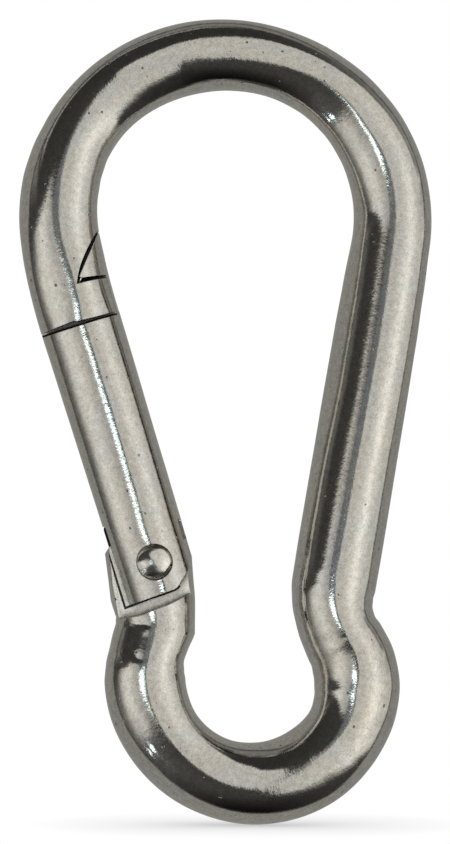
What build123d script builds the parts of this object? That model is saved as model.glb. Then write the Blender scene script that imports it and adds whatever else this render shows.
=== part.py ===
from build123d import *
import math
import os

# Spring snap hook (carbine hook): a bent round bar closed by a hinged, spring-loaded gate.
# Millimetres. +Z runs from the small eye up to the large bow, +X to the side of the plain
# leg, the gate is on the -X side, and the bar's bending plane is Y = 0.
# The origin is the centre of the small eye.
#
# "Gate coordinates" are (across, along) in the bending plane, measured from the hinge axis:
# across is positive towards the inside of the hook, along is positive up the gate.

# ---------------------------------------------------------------- shared dimensions
wire_d = 8.0                    # nominal bar diameter (out of plane)
pin_x, pin_z = -9.705, 11.707   # hinge rivet axis (parallel to Y)
gate_lean = math.radians(17.12)     # gate axis leans towards -X from vertical
gate_offset = -0.14             # gate axis from the hinge axis, across the gate
tip_r = 1.5                     # plunger's round tip and body
tip_along = 4.90                # centre of that tip at rest
bore_end = 18.0                 # closed end of the spring bore
flange_low, flange_high = 5.45, 6.25    # plunger flange that carries the spring
rivet_seat_y = 2.75             # floor of the rivet head seats
cut_half = 8.0                  # half depth of cuts that pass right through the bar
cut_side = 9.0                  # cutting outlines reach this far across, clear of the bar
pin_cut_l = 20.0                # length of the cutters for the rivet holes


# ---------------------------------------------------------------- frames and helpers
up_x, up_z = -math.sin(gate_lean), math.cos(gate_lean)      # along the gate
in_x, in_z = math.cos(gate_lean), math.sin(gate_lean)       # across the gate, inwards


def gate_point(across, along):
    """Point in the part's frame from gate coordinates."""
    return (pin_x + across * in_x + along * up_x, 0.0, pin_z + across * in_z + along * up_z)


def gate_points(pairs):
    return [gate_point(*pair) for pair in pairs]


def gate_plane(across, along):
    """Plane square to the gate, its normal up the gate."""
    return Plane(origin=gate_point(across, along), x_dir=(in_x, 0, in_z),
                 z_dir=(up_x, 0, up_z))


def pin_plane(y=0.0, side=1):
    """Plane square to the rivet, its normal to +Y (side 1) or -Y (side -1)."""
    return Plane(origin=(pin_x, y, pin_z), x_dir=(1, 0, 0), z_dir=(0, side, 0))


def outline(pairs):
    return Polyline(*gate_points(pairs), close=True)


def prism(edges, half):
    """Solid from a closed outline in the bending plane, half to each side of Y = 0."""
    return extrude(make_face(edges), amount=half, dir=(0, 1, 0), both=True)


# ---------------------------------------------------------------- bar
# bend schedule of the centre line, from the nose, clockwise seen from -Y:
# ("L", length) or ("A", radius, degrees); a negative radius bends the other way
nose_start = 24.0           # start of the bar, along the gate
bends = [
    ("L", 0.946),
    ("A", 63.935, 7.363),
    ("A", 15.475, 69.569),
    ("A", 17.354, 61.036),
    ("A", 16.076, 68.640),
    ("L", 34.109),
    ("A", -8.304, 40.468),
    ("A", 8.736, 68.363),
    ("A", 10.724, 162.937),
]
line_pitch, arc_pitch = 4.2, 2.3    # target spacing of the loft sections
min_pitch = 0.9                     # sections closer than this are dropped

# in-plane width of the bar along the centre line (arc length, width): the bow is drawn
# thinner by bending, the legs and the hinge end are slightly flattened
widths = [
    (0, 8.05), (6.7, 8.0), (10.5, 7.82), (14.6, 7.68), (17, 7.45), (19.5, 7.2),
    (23, 7.12), (33, 7.2), (38, 7.05), (43, 6.9), (47, 6.98), (51, 7.2), (55, 7.45),
    (59, 7.62), (65, 7.72), (70, 8.0), (75, 8.2), (83, 8.3), (95, 8.4), (99.8, 8.33),
    (101.3, 8.03), (103, 7.75), (104.5, 7.74), (106, 8.0), (108, 8.33), (110.2, 8.47),
    (112, 8.33), (115, 8.12), (119.6, 8.24), (125.4, 8.12), (130, 7.9), (136, 7.9),
    (140, 8.06), (142.2, 8.05), (143.5, 7.80), (145.0, 7.5), (146.6, 7.6),
]

# the bar kinks at the hinge end: the kink's section, then the straight end above it
kink_x, kink_z, kink_w = -9.665, 5.305, 7.97
kink_heading = math.radians(10.8)
end_heading = math.radians(-5.6)
end_sections = [(3.2, 8.38), (9.6, 8.66)]       # (distance above the kink, width)


def travel(station, bend, fraction):
    """Station (x, z, heading, arc length) reached after a fraction of a bend."""
    x, z, heading, run = station
    if bend[0] == "L":
        step = bend[1] * fraction
        return x + step * math.sin(heading), z + step * math.cos(heading), heading, run + step
    radius = bend[1]
    turned = math.radians(bend[2]) * fraction
    centre_x = x + radius * math.cos(heading)
    centre_z = z - radius * math.sin(heading)
    heading += math.copysign(turned, radius)
    return (centre_x - radius * math.cos(heading), centre_z + radius * math.sin(heading),
            heading, run + abs(radius) * turned)


def bar_stations():
    """Roughly evenly spaced stations along the centre line."""
    x, _, z = gate_point(gate_offset, nose_start)
    start = (x, z, -gate_lean, 0.0)
    stations = []
    for bend in bends:
        if bend[0] == "L":
            count = max(1, round(bend[1] / line_pitch))
        else:
            count = max(2, round(abs(bend[1]) * math.radians(bend[2]) / arc_pitch))
        stations += [travel(start, bend, i / count) for i in range(count)]
        start = travel(start, bend, 1)
    stations.append(start)
    kept = [stations[0]]
    for station in stations[1:]:
        if station[3] - kept[-1][3] > min_pitch:
            kept.append(station)
    return kept


def width_at(run):
    """Smooth in-plane width: cubic blend between table entries, constant beyond them."""
    for (run0, width0), (run1, width1) in zip(widths, widths[1:]):
        if run <= run1:
            t = (run - run0) / (run1 - run0)
            return width0 + (width1 - width0) * t * t * (3 - 2 * t)
    return widths[-1][1]


def section(x, z, heading, width):
    plane = Plane(origin=(x, 0, z), x_dir=(0, 1, 0),
                  z_dir=(math.sin(heading), 0, math.cos(heading)))
    return plane * Ellipse(wire_d / 2, width / 2)


def build_bar():
    """The bent bar up to the kink, and its straight end."""
    kink = section(kink_x, kink_z, kink_heading, kink_w)
    bent = loft([section(x, z, heading, width_at(run))
                 for x, z, heading, run in bar_stations()] + [kink])
    end = loft([kink] + [
        section(kink_x + rise * math.sin(end_heading), kink_z + rise * math.cos(end_heading),
                end_heading, width)
        for rise, width in end_sections])
    return bent, end


# ---------------------------------------------------------------- hook body
# outlines in gate coordinates
nose_end = 24.83            # square end of the nose, along the gate
nose_cut_low = 20.0         # lower end of the cutters at the nose
nose_slot = 3.5             # width of the slot that the gate's tongue passes through
nose_slot_outer = -0.25     # outer wall of that slot, across the gate
nose_slot_outline = [
    (nose_slot_outer, nose_cut_low), (nose_slot_outer, 27.3), (0.1, 28.0), (0.95, 28.6),
    (7, 28.2), (7, nose_cut_low),
]

# V notch: a diagonal wall and an arc about the hinge, open to the inside
notch_shoulder_r = 28.39
notch_diagonal = [(0.726, 28.386), (1.447, 29.75), (2.198, 30.773), (3.121, 31.817),
                  (4.245, 32.975), (4.62, 33.36)]
notch_corner = (7.0, 33.6)
notch_arc_mid = 4.0         # across

# hinge tang
tang_t = 3.5                # thickness between the milled flats
tang_hole_d = 3.28          # running fit on the rivet
tang_step = [(-9, -4.2), (-4.63, -4.415), (-2.84, -4.634), (-1.47, -4.50), (0.2, -4.42),
             (2.72, -3.96), (9, -2.8), (9, 14), (-9, 14)]
tang_top = 3.25             # flat top, along the gate
tang_shoulder = [(-6.2, 0.3), (-5.5, 1.1), (-4.95, 1.65), (-4.46, 2.2), (-3.93, 2.70),
                 (-3.3, 3.08), (-2.6, tang_top)]
# inner side of the tang, then round the outside of the waste to the shoulder
tang_inner = [(3.55, 3.02), (3.57, 2.0), (3.57, -0.2), (3.64, -1.05), (9, -2.6), (9, 14),
              (-9, 14), (-9, 0.3), tang_shoulder[0]]

# cam on the tang, which pushes the plunger back as the gate swings
swing_max = math.radians(42.0)
cam_lead = 1.6              # plunger travel per radian of gate swing
cam_gap = 0.03
cam_steps = 12


def cam_point(swing):
    """Where the plunger's tip meets the tang after a swing, in gate coordinates at rest."""
    reach = tip_along + cam_lead * swing
    sin, cos = math.sin(swing), math.cos(swing)
    path_across = cam_lead * sin + reach * cos
    path_along = cam_lead * cos - reach * sin
    offset = (tip_r + cam_gap) / math.hypot(path_across, path_along)
    return reach * sin + offset * path_along, reach * cos - offset * path_across


def notch_shoulder(across):
    return gate_point(across, math.sqrt(notch_shoulder_r ** 2 - across * across))


def cut_nose(body):
    """Square end, V notch and tongue slot."""
    body -= prism(outline([(-cut_side, nose_cut_low), (cut_side, nose_cut_low),
                           (cut_side, nose_end), (-cut_side, nose_end)]), cut_half)
    diagonal = gate_points(notch_diagonal)
    corner = gate_point(*notch_corner)
    shoulder_end = notch_shoulder(notch_corner[0])
    body -= prism(
        Spline(*diagonal)
        + Line(diagonal[-1], corner)
        + Line(corner, shoulder_end)
        + ThreePointArc(shoulder_end, notch_shoulder(notch_arc_mid), diagonal[0]),
        cut_half)
    body -= prism(outline(nose_slot_outline), nose_slot / 2)
    return body


def build_tang(bar_end):
    tang = bar_end
    for side in (1, -1):
        milled = extrude(make_face(outline(tang_step)), amount=cut_half, dir=(0, side, 0))
        tang -= Pos(0, side * tang_t / 2, 0) * milled

    # the top edge: shoulder, flat, ramp in line with the cam's start, cam, inner side
    cam = [cam_point(swing_max * i / cam_steps) for i in range(cam_steps + 1)]
    ramp_foot = gate_point(cam[0][0] - (cam[0][1] - tang_top) * tip_along / cam_lead, tang_top)
    shoulder = gate_points(tang_shoulder)
    cam = gate_points(cam)
    inner = gate_points(tang_inner)
    tang -= prism(
        Spline(*shoulder)
        + Line(shoulder[-1], ramp_foot)
        + Line(ramp_foot, cam[0])
        + Spline(*cam)
        + Line(cam[-1], inner[0])
        + Polyline(*inner),
        cut_half)
    tang -= pin_plane() * Cylinder(tang_hole_d / 2, pin_cut_l)
    return tang


def build_body(bar, bar_end):
    body = cut_nose(bar)
    body += build_tang(bar_end)
    return body


# ---------------------------------------------------------------- gate
gate_low, gate_top = -4.5, 24.38        # along the gate
gate_r_low, gate_r_high = 3.74, 4.03    # gate tapers slightly towards the hinge
foot_outline = [(-7, -3.55), (-3.42, -3.37), (1.05, -3.14), (1.55, -2.92), (3.18, -1.50),
                (3.64, -1.11), (6, 0.9), (9, -9), (-7, -9)]

# slot between the two cheeks
fork_slot = 3.6
fork_low = -9.0
fork_roof = 4.73
fork_roof_r = 4.76
fork_arc_degrees = (7, 45, 80)          # from the gate's direction, inwards
fork_inner_along = 0.5

bore_d = 4.0
bore_start = -6.0
cheek_hole_d = 3.22
head_seat_d = 3.72
head_seat_cut = 4.0

# tongue and T head
tongue_t = 3.1
tongue_outer, tongue_inner, tongue_low = 0.2, 5.2, 23.9
tongue_outline = [
    (tongue_outer, tongue_low), (tongue_outer, 27.55), (0.55, 28.15), (1.36, 28.9),
    (tongue_inner, 29.2), (tongue_inner, tongue_low),
]
stub_start, stub_l = 23.0, 2.0          # round stub that carries the bar's shape downwards
head_diagonal = [(1.42, 29.28), (2.017, 29.99), (2.598, 30.69), (3.174, 31.36),
                 (4.12, 32.60)]
head_foot = [(1.36, 28.83), (3.246, 28.553), (4.6, 28.31)]
head_inner_top = (4.6, 32.75)
head_corner_mid = (1.235, 28.96)        # on the rounded corner between foot and diagonal


def cut_fork(gate):
    arc = [gate_point(fork_roof_r * math.sin(math.radians(angle)),
                      fork_roof_r * math.cos(math.radians(angle)))
           for angle in fork_arc_degrees]
    low_outer = gate_point(-cut_side, fork_low)
    # the slot's end follows the swing of the tang on the inner side
    gate -= prism(
        Polyline(low_outer, gate_point(-cut_side, fork_roof), arc[0])
        + ThreePointArc(*arc)
        + Polyline(arc[2], gate_point(cut_side, fork_inner_along),
                   gate_point(cut_side, fork_low), low_outer),
        fork_slot / 2)
    return gate


def build_gate(bar):
    gate = Solid.make_cone(gate_r_low, gate_r_high, gate_top - gate_low,
                           plane=gate_plane(gate_offset, gate_low))
    # square foot with a chamfered inner corner
    gate -= prism(outline(foot_outline), cut_half)
    gate = cut_fork(gate)
    # spring bore from the fork end
    gate -= Solid.make_cylinder(bore_d / 2, bore_end - bore_start,
                                plane=gate_plane(0, bore_start))
    # rivet hole and head seats
    gate -= pin_plane() * Cylinder(cheek_hole_d / 2, pin_cut_l)
    for side in (1, -1):
        gate -= Solid.make_cylinder(head_seat_d / 2, head_seat_cut,
                                    plane=pin_plane(side * rivet_seat_y, side))

    # the tongue's inner edge and the head's outside are flush with the bar
    tongue = prism(outline(tongue_outline), tongue_t / 2)
    tongue = tongue & (bar + Solid.make_cylinder(wire_d / 2, stub_l,
                                                 plane=gate_plane(gate_offset, stub_start)))
    foot = gate_points(head_foot)
    diagonal = gate_points(head_diagonal)
    head = prism(
        Polyline(*foot, gate_point(*head_inner_top), diagonal[-1])
        + Spline(*reversed(diagonal))
        + ThreePointArc(diagonal[0], gate_point(*head_corner_mid), foot[0]),
        cut_half) & bar
    return gate + tongue + head


# ---------------------------------------------------------------- rivet
rivet_r = 1.6
rivet_head_r = 1.75
rivet_head_y = rivet_seat_y + 0.02      # underside of the head, just clear of its seat
rivet_rim_y = 3.30
rivet_top_y = 4.12


def build_rivet():
    """Shank with a domed head at each end."""
    cap_h = rivet_top_y - rivet_rim_y
    cap_r = (rivet_head_r ** 2 + cap_h ** 2) / (2 * cap_h)
    mid_angle = math.asin(rivet_head_r / cap_r) / 2
    cap_mid = (cap_r * math.sin(mid_angle), rivet_top_y - cap_r * (1 - math.cos(mid_angle)))
    rim = (rivet_head_r, rivet_rim_y)
    top = (0, rivet_top_y)
    profile = (
        Polyline((0, 0), (rivet_r, 0), (rivet_r, rivet_head_y), (rivet_head_r, rivet_head_y),
                 rim)
        + ThreePointArc(rim, cap_mid, top)
        + Line(top, (0, 0))
    )
    half = revolve(make_face(profile), Axis.Y)
    return Pos(pin_x, 0, pin_z) * (half + mirror(half, about=Plane.XZ))


# ---------------------------------------------------------------- plunger
flange_r = 1.9
stem_r = 1.1
stem_end = 11.0
stem_chamfer = 0.3


def build_plunger():
    tip = (0, tip_along - tip_r)
    tip_mid = (tip_r * math.sin(math.pi / 4), tip_along - tip_r * math.cos(math.pi / 4))
    profile = (
        ThreePointArc(tip, tip_mid, (tip_r, tip_along))
        + Polyline((tip_r, tip_along), (tip_r, flange_low), (flange_r, flange_low),
                   (flange_r, flange_high), (stem_r, flange_high),
                   (stem_r, stem_end - stem_chamfer), (stem_r - stem_chamfer, stem_end),
                   (0, stem_end), tip)
    )
    # the turned profile's Y axis becomes the gate's direction
    turn = Plane(origin=(pin_x, 0, pin_z), x_dir=(in_x, 0, in_z), z_dir=(0, -1, 0))
    return turn * revolve(make_face(profile), Axis.Y)


# ---------------------------------------------------------------- spring
spring_wire_r = 0.25
spring_mean_r = 1.6
spring_turns = 11
spring_gap = 0.02           # clearance at each end


def build_spring():
    low = flange_high + spring_wire_r + spring_gap
    height = bore_end - spring_wire_r - spring_gap - low
    helix = Helix(pitch=height / spring_turns, height=height, radius=spring_mean_r)
    wire = Plane(origin=helix @ 0, z_dir=helix % 0) * Circle(spring_wire_r)
    return gate_plane(0, low) * sweep(wire, path=helix, is_frenet=True)


# ---------------------------------------------------------------- write
bar, bar_end = build_bar()
nodes = {
    "hook_body": build_body(bar, bar_end),
    "gate": build_gate(bar),
    "hinge_rivet": build_rivet(),
    "spring_plunger": build_plunger(),
    "gate_spring": build_spring(),
}
os.makedirs("parts", exist_ok=True)
for name, shape in nodes.items():
    export_step(shape, f"parts/{name}.step")
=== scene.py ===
"""Steel hook bent from round bar, with a riveted spring gate, on white paper.

The bar is bent in the XZ plane: +Z is up and the camera looks along +Y, so -Y is the front.
The gate stands on the left (-X), leaning outwards, and is hinged at HINGE. Lengths are in mm
unless a comment says otherwise; MM turns them into metres. Most cuts are drawn in gate
coordinates (a, b): a runs across the gate towards the inside of the hook, b runs up along it,
both from the hinge.
"""

import math
from collections import namedtuple

import bmesh
import bpy
import numpy as np
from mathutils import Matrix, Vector


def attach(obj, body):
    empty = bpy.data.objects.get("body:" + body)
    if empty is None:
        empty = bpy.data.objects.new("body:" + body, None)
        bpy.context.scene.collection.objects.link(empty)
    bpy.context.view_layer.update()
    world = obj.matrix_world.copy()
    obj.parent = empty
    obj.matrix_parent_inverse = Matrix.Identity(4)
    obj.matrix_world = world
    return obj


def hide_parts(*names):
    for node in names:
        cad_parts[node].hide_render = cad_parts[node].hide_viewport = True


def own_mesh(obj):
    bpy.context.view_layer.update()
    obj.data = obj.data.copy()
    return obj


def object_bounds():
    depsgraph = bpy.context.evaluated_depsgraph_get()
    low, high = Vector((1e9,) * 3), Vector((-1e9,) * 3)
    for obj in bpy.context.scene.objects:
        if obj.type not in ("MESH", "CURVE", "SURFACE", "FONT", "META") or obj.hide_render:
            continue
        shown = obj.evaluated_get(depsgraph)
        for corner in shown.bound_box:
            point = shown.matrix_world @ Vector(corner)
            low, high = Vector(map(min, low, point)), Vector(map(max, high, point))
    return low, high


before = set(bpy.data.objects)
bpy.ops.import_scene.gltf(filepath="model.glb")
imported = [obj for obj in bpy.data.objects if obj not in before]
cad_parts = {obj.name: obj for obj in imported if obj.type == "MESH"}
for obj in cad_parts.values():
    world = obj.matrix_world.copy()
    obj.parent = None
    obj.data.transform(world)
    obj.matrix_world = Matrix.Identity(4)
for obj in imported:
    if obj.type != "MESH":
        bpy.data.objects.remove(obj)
cad_lo, cad_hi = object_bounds()
scene = bpy.context.scene
MM = 0.001

# ------------------------------------------------------------------ dimensions
BAR_R = 4.0
RING = 112                                        # points around a bar
HINGE = (-9.705, 11.707)                          # x, z
LEAN = math.radians(17.12)
UP_X, UP_Z = -math.sin(LEAN), math.cos(LEAN)      # along the gate, up
IN_X, IN_Z = math.cos(LEAN), math.sin(LEAN)       # across the gate, inwards
GATE_OFFSET = -0.14                               # of the gate's axis from the hinge
GATE_TOP = 24.38
RIDGE_TOP = 24.65
SHANK_R = 1.6                                     # rivet
RIVET_HEAD_R = 1.765
BEYOND = 8.0                                      # depth safely outside the bar

# Centre line: lines (length) and arcs (radius, degrees); a positive radius turns clockwise
# as seen from the front
BENDS = [("line", 0.946), ("arc", 63.935, 7.363), ("arc", 15.475, 69.569),
         ("arc", 17.354, 61.036), ("arc", 16.076, 68.640), ("line", 34.109),
         ("arc", -8.304, 40.468), ("arc", 8.736, 68.363), ("arc", 10.724, 162.937)]
LEAD_IN = 3.0                                     # straight length before the first bend
TABLE_STEP = 0.1
KINK = (-9.665, 5.305)                            # x, z where the straight tang begins
KINK_HEADING = 2 * math.pi + math.radians(10.8)
TANG_TILT = math.radians(-5.6)
TANG_LENGTH = 9.6
NOSE_LENGTH = 11.0                                # arc length where nose and main part join

# Width of the bar in the bending plane: arc length, width
WIDTHS = [(-3, 8.05), (0, 8.05), (6.7, 8.0), (10.5, 7.82), (14.6, 7.68), (17, 7.45), (19.5, 7.2),
          (23, 7.12), (33, 7.2), (38, 7.05), (43, 6.9), (47, 6.98), (51, 7.2), (55, 7.45),
          (59, 7.62), (65, 7.72), (70, 8.0), (75, 8.2), (83, 8.3), (95, 8.4), (99.8, 8.33),
          (101.3, 8.03), (103, 7.75), (104.5, 7.74), (106, 8.0), (108, 8.33), (110.2, 8.47),
          (112, 8.33), (115, 8.12), (119.6, 8.24), (125.4, 8.12), (130, 7.9), (136, 7.9),
          (140, 8.06), (142.2, 8.05), (143.5, 7.80), (145.0, 7.5), (146.6, 7.6)]

# A formed bar is not quite round: arc length, tilt of the front face, its flatness and a
# second order term
BAR_SHAPE = [(-0.5, -0.040, -0.170, 0.006), (2.5, -0.039, -0.170, 0.115),
             (5.5, -0.026, -0.160, 0.136), (8.5, -0.047, -0.147, 0.032),
             (11.5, -0.102, -0.102, -0.046), (14.5, -0.094, -0.078, -0.050),
             (17.5, -0.039, -0.018, -0.040), (20.5, 0.033, 0.051, -0.053),
             (23.5, 0.063, -0.040, -0.117), (26.5, 0.044, -0.144, -0.128),
             (29.5, 0.012, -0.120, -0.091), (32.5, 0.014, -0.082, -0.056),
             (35.5, -0.006, -0.080, 0.026), (38.5, -0.039, -0.078, 0.029),
             (41.5, -0.058, -0.048, -0.010), (44.5, -0.040, 0.018, -0.051),
             (47.5, -0.015, 0.038, -0.107), (50.5, -0.006, -0.011, -0.109),
             (53.5, -0.012, -0.088, -0.072), (56.5, 0.038, -0.128, -0.059),
             (59.5, 0.070, -0.104, -0.030), (62.5, 0.088, -0.011, -0.002),
             (65.5, 0.093, -0.082, 0.011), (68.5, 0.138, -0.052, 0.038),
             (71.5, 0.159, -0.029, 0.040), (74.5, 0.160, -0.002, 0.040),
             (77.5, 0.159, 0.002, 0.040), (80.5, 0.145, 0.027, 0.040),
             (83.5, 0.119, 0.021, 0.029), (86.5, 0.081, 0.010, 0.002),
             (89.5, 0.061, 0.000, 0.000), (92.5, 0.054, 0.000, 0.000),
             (95.5, 0.041, 0.000, 0.002), (98.5, 0.046, -0.010, 0.026),
             (101.5, 0.066, -0.008, -0.028), (104.5, 0.108, 0.027, -0.068),
             (107.5, 0.102, -0.022, -0.037), (110.5, 0.027, -0.080, 0.026),
             (113.5, -0.019, 0.024, 0.003), (116.5, -0.027, 0.038, 0.053),
             (119.5, 0.024, 0.022, 0.142), (122.5, 0.053, 0.037, 0.089),
             (125.5, 0.034, 0.022, 0.013), (128.5, -0.012, 0.038, 0.000),
             (131.5, -0.098, 0.040, 0.000), (134.5, -0.157, 0.026, -0.010),
             (137.5, -0.144, -0.078, -0.021), (140.5, -0.093, -0.155, -0.018),
             (143.5, -0.040, -0.131, 0.008), (146.0, -0.080, -0.100, 0.0),
             (150.0, -0.060, -0.060, 0.0)]
# The same for the gate, by b
GATE_SHAPE = [(-2.5, -0.040, -0.160, 0.080), (0.5, -0.040, -0.160, 0.080),
              (3.5, -0.007, -0.160, 0.082), (6.5, -0.034, -0.160, 0.080),
              (9.5, -0.046, -0.160, 0.080), (12.5, -0.059, -0.160, 0.080),
              (15.5, -0.060, -0.160, 0.080), (18.5, -0.060, -0.149, 0.080),
              (21.5, -0.060, -0.122, 0.080)]

# Small marks in the skin: height, arc length, angle, half length, half breadth, tilt (degrees)
MARKS = [(-0.026, 104.7, 67.0, 0.36, 1.9, -12.0), (0.015, 105.5, 66.0, 0.5, 1.7, 0.0),
         (-0.06, 148.1, 106.0, 0.55, 0.5, 0.0), (-0.05, 147.2, 126.0, 0.4, 0.6, 30.0),
         (0.04, 147.6, 98.0, 0.6, 0.45, 0.0)]


# ------------------------------------------------------------------ centre line
def from_gate(a, b):
    """(x, z) of a point given in gate coordinates."""
    return HINGE[0] + a * IN_X + b * UP_X, HINGE[1] + a * IN_Z + b * UP_Z


def centre_table():
    """Rows of (arc length, x, z, heading), and the arc length of the kink."""
    x, z = from_gate(GATE_OFFSET, 24.0)
    heading, s = -LEAN, 0.0
    rows = [(-LEAD_IN, x - LEAD_IN * math.sin(heading), z - LEAD_IN * math.cos(heading), heading)]
    for kind, size, *angle in BENDS:
        if kind == "line":
            count = max(1, int(size / TABLE_STEP))
            dx, dz = math.sin(heading), math.cos(heading)
            for i in range(count):
                t = size * i / count
                rows.append((s + t, x + t * dx, z + t * dz, heading))
            x, z, s = x + size * dx, z + size * dz, s + size
        else:
            side = 1.0 if size > 0 else -1.0
            radius, sweep = abs(size), math.radians(angle[0])
            cx = x + side * radius * math.cos(heading)
            cz = z - side * radius * math.sin(heading)
            count = max(2, int(radius * sweep / TABLE_STEP))
            for i in range(count):
                turned = heading + side * sweep * i / count
                rows.append((s + radius * sweep * i / count,
                             cx - side * radius * math.cos(turned),
                             cz + side * radius * math.sin(turned), turned))
            heading += side * sweep
            s += radius * sweep
            x = cx - side * radius * math.cos(heading)
            z = cz + side * radius * math.sin(heading)
    rows.append((s, x, z, heading))
    # short blend to the kink, then the straight tang
    gap = math.hypot(KINK[0] - x, KINK[1] - z)
    for i in range(1, 9):
        t = i / 9
        rows.append((s + gap * t, x + (KINK[0] - x) * t, z + (KINK[1] - z) * t,
                     heading + (KINK_HEADING - heading) * t))
    s += gap
    rows.append((s, KINK[0], KINK[1], KINK_HEADING))
    end_heading = 2 * math.pi + TANG_TILT
    for i in range(1, 40):
        t = TANG_LENGTH * i / 39
        rows.append((s + t, KINK[0] + t * math.sin(TANG_TILT), KINK[1] + t * math.cos(TANG_TILT),
                     KINK_HEADING + (end_heading - KINK_HEADING) * min(1.0, t / 3.2)))
    return np.array(rows), s


CENTRE, S_KINK = centre_table()
S_TANG = S_KINK - 4.8         # where the main part and the tang piece join
WIDTHS += [(S_KINK, 7.97), (S_KINK + 3.2, 8.38), (S_KINK + TANG_LENGTH, 8.66)]


def smooth01(t):
    t = np.clip(t, 0.0, 1.0)
    return t * t * (3 - 2 * t)


def width_at(s):
    places, widths = np.array(WIDTHS).T
    i = np.clip(np.searchsorted(places, s, side="right") - 1, 0, len(places) - 2)
    t = smooth01((s - places[i]) / (places[i + 1] - places[i]))
    return widths[i] + (widths[i + 1] - widths[i]) * t


def centre_at(s):
    """x, z and heading; the heading is averaged so that reflections flow through the bends."""
    x = np.interp(s, CENTRE[:, 0], CENTRE[:, 1])
    z = np.interp(s, CENTRE[:, 0], CENTRE[:, 2])
    offsets = np.linspace(-0.45, 0.45, 7)
    total = sum(np.interp(s + offset, CENTRE[:, 0], CENTRE[:, 3]) for offset in offsets)
    return x, z, total / len(offsets)


# ------------------------------------------------------------------ skin of a bar
def value_noise(points, seed):
    """Smooth repeatable noise in -1..1 at points (n, 3)."""
    cell = np.floor(points).astype(np.int64)
    f = points - cell
    f = f * f * f * (f * (f * 6 - 15) + 10)
    out = np.zeros(len(points))
    for dx in (0, 1):
        for dy in (0, 1):
            for dz in (0, 1):
                h = ((cell[:, 0] + dx) * 374761393 + (cell[:, 1] + dy) * 668265263
                     + (cell[:, 2] + dz) * 2147483647 + seed * 1274126177) & 0xFFFFFFFF
                h = ((h ^ (h >> 13)) * 1274126177) & 0xFFFFFFFF
                value = ((h ^ (h >> 16)) & 0xFFFF) / 32767.5 - 1.0
                weight = ((f[:, 0] if dx else 1 - f[:, 0]) * (f[:, 1] if dy else 1 - f[:, 1])
                          * (f[:, 2] if dz else 1 - f[:, 2]))
                out += value * weight
    return out


def waviness(s, turn, coarse, fine, seeds):
    """Uneven skin: two sizes of noise with heights coarse and fine."""
    points = np.stack([s, BAR_R * np.cos(turn), BAR_R * np.sin(turn)], -1)
    return (coarse * value_noise(points / 5.5, seeds[0])
            + fine * value_noise(points / 2.3, seeds[1]))


def soft_oval(s, angle, s0, angle0, length, breadth, tilt):
    """Falls from 1 at the oval's centre; angles in degrees."""
    ds = s - s0
    dt = (np.mod(angle - angle0 + 180.0, 360.0) - 180.0) * math.pi / 180.0 * BAR_R
    c, k = math.cos(math.radians(tilt)), math.sin(math.radians(tilt))
    return np.exp(-(((ds * c + dt * k) / length) ** 2 + ((-ds * k + dt * c) / breadth) ** 2))


def bell(x, reach):
    return np.exp(-(x / reach) ** 2)


def relief(s, angle):
    """Radial offset of the hook's skin; angle in degrees, 0 inwards and 90 at the front."""
    turn = np.radians(angle)
    offset = waviness(s, turn, coarse=0.007, fine=0.003, seeds=(3, 5))
    # wavy crease at the neck, with a hollow after it
    past = s - 144.8 - 0.35 * np.sin(angle / 9.0)
    crease = 0.05 * bell(past, 0.32) + 0.06 * smooth01(past + 0.5) * bell(past, 3.0)
    offset -= bell(angle - 118.0, 24.0) * crease
    # thinner front and back towards the tang, and a swelling on its outer front
    offset -= 0.10 * smooth01((s - 144.2) / 4.6) * np.sin(turn) ** 2
    offset += 0.06 * smooth01((s - 145.6) / 2.6) * bell(angle - 132.0, 20.0)
    for height, *place in MARKS:
        offset += height * soft_oval(s, angle, *place)
    return offset


def shape_at(table, s):
    columns = np.array(table).T
    return np.stack([np.interp(s, columns[0], column) for column in columns[1:]], -1)


def section(half, shape, shrink=0.0):
    """Depths (positive to the front) around each ring, for its half width and shape."""
    fine = 12                 # integration steps per ring point
    count = (RING // 2) * fine + 1
    phi = np.linspace(0, math.pi, count)
    f = np.cos(phi)[None]     # place across the bar, 1 inwards to -1 outwards
    room = 1 - f * f
    tilt, flat, second = shape[:, 0:1], shape[:, 1:2], shape[:, 2:3]
    lean = f + room * flat * f + room ** 1.5 * (tilt + second * (5 * f * f - 1))
    lean = np.clip(lean, -0.9985, 0.9985)
    slope = lean / np.sqrt(1 - lean * lean) * np.sin(phi)[None] * half[:, None]
    depth = np.zeros_like(slope)
    depth[:, 1:] = np.cumsum((slope[:, 1:] + slope[:, :-1]) / 2, 1) * (phi[1] - phi[0])
    end = depth[:, -1:]
    depth = depth - end * (1 - f) / 2
    # bring the middle to the bar's radius, leaving the edges alone
    missing = np.clip(BAR_R - depth[:, count // 2], -0.25, 1.0)
    edge = np.clip((np.abs(f) - 0.88) / 0.12, 0, 1)
    depth = depth + missing[:, None] * (1 - edge ** 3) - shrink * np.sin(phi)[None]
    skew = -end * f / 2
    depth, skew = depth[:, ::fine], skew[:, ::fine]
    middle = RING // 2
    out = np.zeros((len(half), RING))
    out[:, :middle + 1] = depth + skew
    out[:, middle + 1:] = (-depth + skew)[:, 1:middle][:, ::-1]
    return out


# ------------------------------------------------------------------ meshes
UV_PER_MM = 0.1
UV_NAMES = ("bar_a", "bar_b")     # (along, across) and (depth, 0) of the bar rolled out straight


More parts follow.
